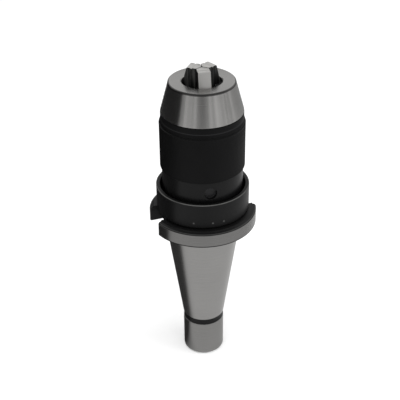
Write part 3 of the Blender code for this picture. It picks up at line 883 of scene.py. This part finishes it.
def dress_frame():
    """Finishes for the nodes of the frame that are shown as they are."""
    steel, oxide, brass, rubber = bearing_steel(), black_oxide("nut_oxide", 0.35), cage_brass(), seal_rubber()
    finish = {"upper_race": steel, "lower_race": steel, "thrust_nut": oxide,
              "nut_lock_screw": oxide, "ball_cage": brass, "dust_seal": rubber}
    for name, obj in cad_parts.items():
        material = steel if name.startswith("ball_") and name != "ball_cage" else finish.get(name)
        if material:
            obj.data.materials.clear()
            obj.data.materials.append(material)


# --- stage --------------------------------------------------------------------------------
def make_camera():
    """The camera, looking down at the chuck."""
    s = bpy.context.scene.chuck_stage
    data = bpy.data.cameras.new("camera")
    data.sensor_width = 36.0
    data.lens = s.lens
    data.clip_start, data.clip_end = 0.01, 20.0
    camera = bpy.data.objects.new("camera", data)
    bpy.context.scene.collection.objects.link(camera)
    ahead = Vector((0, math.cos(s.pitch), -math.sin(s.pitch)))
    right = Vector((1, 0, 0))
    up = right.cross(ahead)
    right, up = (math.cos(s.roll) * right + math.sin(s.roll) * up,
                 math.cos(s.roll) * up - math.sin(s.roll) * right)
    turn = Matrix.Rotation(s.azimuth, 3, "Z")
    axes = turn @ Matrix((right, up, -ahead)).transposed()
    place = turn @ Vector((s.aside, -s.away, s.height))
    camera.matrix_world = Matrix.Translation(place) @ axes.to_4x4()
    bpy.context.scene.camera = camera


def soft_light(name, direction, distance, size, power, height):
    """A square lamp that faces the chuck from a direction round it, unseen in its gloss."""
    data = bpy.data.lights.new(name, "AREA")
    data.shape = "SQUARE"
    data.size = size
    data.energy = power
    lamp = bpy.data.objects.new(name, data)
    bpy.context.scene.collection.objects.link(lamp)
    turn = math.radians(direction)
    place = Vector((distance * math.cos(turn), distance * math.sin(turn), height))
    aim = Vector((0, 0, 0.1)) - place
    lamp.matrix_world = Matrix.Translation(place) @ aim.to_track_quat("-Z", "Y").to_matrix().to_4x4()
    lamp.visible_glossy = False
    return lamp


def from_camera(look):
    """How far a point lies before the chuck's axis and to its right, as the camera sees it."""
    facing = math.radians(FACING)
    before = look.x * math.cos(facing) + look.y * math.sin(facing)
    right = look.y * math.cos(facing) - look.x * math.sin(facing)
    return before, right


def reflector(name, grid, tones):
    """A glowing surface seen only in the chuck's gloss, as the walls of a studio tent are.

    tones takes the look and the bearing from the camera's side, in degrees and positive to the right, and
    gives a brightness.
    """
    look = Look(name, 1.0, 0.0, specular_ior_level=0.0)
    look.set("Base Color", (0, 0, 0, 1))
    look.set("Emission Strength", 1.0)
    before, right = from_camera(look)
    bearing = before.around(right) * (180 / math.pi)
    look.set("Emission Color", look.mix(tones(look, bearing), rgba((0, 0, 0)), rgba((1, 1, 1))))
    look.material.cycles.emission_sampling = "NONE"
    obj = piece(name, look.material, (grid, True))
    obj.visible_camera = False
    obj.visible_diffuse = False
    obj.visible_shadow = False
    obj.visible_transmission = False
    return obj


def tent_tones(look, bearing):
    """Brightness of the tent.

    The wall is pale with upright streaks. Round it stand a black panel at the left, a grey one in front and
    a grey one at the right, and straight behind the chuck it is bright below and dim above. The dome is dim
    in front, pale behind and grey at its top.
    """
    rise = (look.z - TENT_HEIGHT) / TENT_RADIUS
    streaks = (look.rings(0.09, bearing) - 0.5) * 2.2 + (look.rings(0.2, bearing) - 0.5) * 1.8
    wall = 0.49 + streaks
    for panel, tone in ((bearing.between(-156, -58, 14), 0.015),
                        (bearing.between(-13, 13, 14), 0.18),
                        (bearing.over(98, 30), 0.32)):
        wall = blend(panel, wall, tone)
    behind = 1 - bearing.between(-162, 166, 12)
    wall = blend(behind, wall, blend(rise.over(-0.22, 0.1), 0.9, 0.16))
    ahead = bearing.between(-105, 105, 20)
    tone = blend((1 - ahead) * rise.over(0.25, 0.1), wall, 0.66)
    tone = blend(ahead * rise.over(0.22, 0.12), tone, 0.2)
    return blend(rise.over(0.85, 0.2), tone, 0.3)


def ground_tones(look, bearing):
    """Brightness of the tent's ground: grey, and black close behind the chuck at the left."""
    before, right = from_camera(look)
    left = 0 - right
    panel = 1 - (before - left * 0.1 - left * left).over(7 * MM, 14 * MM)
    panel = panel * (left + before * 0.3).over(0.0, 30 * MM)
    far = look.radius.over(0.33, 0.05)
    tone = blend(bearing.over(118, 30), 0.50, blend(far, 0.62, 0.32))
    tone = blend(1 - bearing.over(-160, 10), tone, 0.9)
    return blend(panel, tone, 0.04)


def make_tent():
    """The studio tent: a round wall with a dome on it, and a disc on the floor round the pilot."""
    turns = angles(72)[None]
    rise = np.radians(np.linspace(0, 90, 31))
    radius = np.concatenate(([TENT_RADIUS], TENT_RADIUS * np.cos(rise)))[:, None]
    height = np.concatenate(([0.0], TENT_HEIGHT + TENT_RADIUS * np.sin(rise)))[:, None]
    reflector("tent_dome", swept(radius, height, turns), tent_tones)
    inner, over_floor = 13.0 * MM, 0.15 * MM          # just clear of the pilot and of the floor
    ground = np.array([[inner], [0.1], [0.3], [TENT_RADIUS]])
    reflector("tent_ground", swept(ground, over_floor, turns), ground_tones)


def make_floor():
    """A pale round floor that fades into the background."""
    turns = angles(96)[None]
    radius = np.array([[0.0], [0.4], [1.0], [3.0]])
    grid = swept(radius, -0.02 * MM, turns)
    look = Look("pale_floor", 0.6, 0.0)
    shade = look.noise(2.0, 2.0)
    tone = bpy.context.scene.chuck_stage.floor
    look.set("Base Color", look.mix(shade, rgba(scaled(tone, 0.99)), rgba(tone)))
    look.set("Emission Color", (1, 1, 1, 1))
    look.set("Emission Strength", FLOOR_GLOW)
    obj = piece("floor", look.material, (grid, True))
    obj.data.flip_normals()
    return obj


def make_world():
    """Even pale surroundings."""
    world = bpy.data.worlds.new("studio")
    bpy.context.scene.world = world
    world.use_nodes = True
    back = world.node_tree.nodes["Background"]
    back.inputs["Color"].default_value = (1, 1, 1, 1)
    back.inputs["Strength"].default_value = ROOM_GLOW


def make_stage():
    """Camera, floor, surroundings, tent and lamps."""
    make_camera()
    make_floor()
    make_world()
    make_tent()
    soft_light("top_light", FACING, distance=0.3, size=0.8, power=5, height=1.1)
    soft_light("right_light", FACING + 80, distance=0.9, size=0.6, power=3, height=0.5)
    bpy.context.scene.view_settings.view_transform = "Standard"


# --- operators ----------------------------------------------------------------------------
class CHUCK_OT_shank(bpy.types.Operator):
    """Make the shank"""

    bl_idname = "chuck.shank"
    bl_label = "Shank"

    def execute(self, context):
        make_shank()
        return {"FINISHED"}


class CHUCK_OT_bearing_ring(bpy.types.Operator):
    """Make the bearing ring"""

    bl_idname = "chuck.bearing_ring"
    bl_label = "Bearing Ring"

    def execute(self, context):
        make_bearing_ring()
        return {"FINISHED"}


class CHUCK_OT_sleeve(bpy.types.Operator):
    """Make the knurled sleeve"""

    bl_idname = "chuck.sleeve"
    bl_label = "Sleeve"

    def execute(self, context):
        make_sleeve()
        return {"FINISHED"}


class CHUCK_OT_hood(bpy.types.Operator):
    """Make the hood"""

    bl_idname = "chuck.hood"
    bl_label = "Hood"

    def execute(self, context):
        make_hood()
        return {"FINISHED"}


class CHUCK_OT_jaws(bpy.types.Operator):
    """Make the three jaws"""

    bl_idname = "chuck.jaws"
    bl_label = "Jaws"

    def execute(self, context):
        make_jaws()
        return {"FINISHED"}


class CHUCK_OT_core(bpy.types.Operator):
    """Make the jaw guide and the drive screw"""

    bl_idname = "chuck.core"
    bl_label = "Guide and Screw"

    def execute(self, context):
        make_core()
        return {"FINISHED"}


class CHUCK_OT_frame_finishes(bpy.types.Operator):
    """Give the bearing and the other inner pieces their finishes"""

    bl_idname = "chuck.frame_finishes"
    bl_label = "Inner Finishes"

    def execute(self, context):
        dress_frame()
        return {"FINISHED"}


class CHUCK_OT_stage(bpy.types.Operator):
    """Make the camera, floor and lights"""

    bl_idname = "chuck.stage"
    bl_label = "Stage"

    def execute(self, context):
        make_stage()
        return {"FINISHED"}


OPERATORS = (
    CHUCK_OT_shank,
    CHUCK_OT_bearing_ring,
    CHUCK_OT_sleeve,
    CHUCK_OT_hood,
    CHUCK_OT_jaws,
    CHUCK_OT_core,
    CHUCK_OT_frame_finishes,
    CHUCK_OT_stage,
)


class CHUCK_PT_panel(bpy.types.Panel):
    """Sidebar panel with one button for each group of pieces"""

    bl_idname = "CHUCK_PT_panel"
    bl_label = "Drill Chuck"
    bl_space_type = "VIEW_3D"
    bl_region_type = "UI"
    bl_category = "Drill Chuck"

    def draw(self, context):
        for operator in OPERATORS:
            self.layout.operator(operator.bl_idname)
        for settings in SETTINGS:
            group = getattr(context.scene, settings)
            for name in group.__annotations__:
                self.layout.prop(group, name)


SETTINGS = {
    "chuck_shank": ShankSizes,
    "chuck_hood": HoodSizes,
    "chuck_sleeve": SleeveSizes,
    "chuck_finishes": Finishes,
    "chuck_stage": StageSettings,
}


def register():
    """Adds the settings, the operators and the panel."""
    for name, group in SETTINGS.items():
        bpy.utils.register_class(group)
        setattr(bpy.types.Scene, name, bpy.props.PointerProperty(type=group))
    for entry in (*OPERATORS, CHUCK_PT_panel):
        bpy.utils.register_class(entry)


def unregister():
    """Takes them away again."""
    for entry in (CHUCK_PT_panel, *reversed(OPERATORS)):
        bpy.utils.unregister_class(entry)
    for name, group in SETTINGS.items():
        delattr(bpy.types.Scene, name)
        bpy.utils.unregister_class(group)


def main():
    """Makes everything."""
    register()
    for operator in OPERATORS:
        module, name = operator.bl_idname.split(".")
        getattr(getattr(bpy.ops, module), name)()


if __name__ == "__main__":
    main()
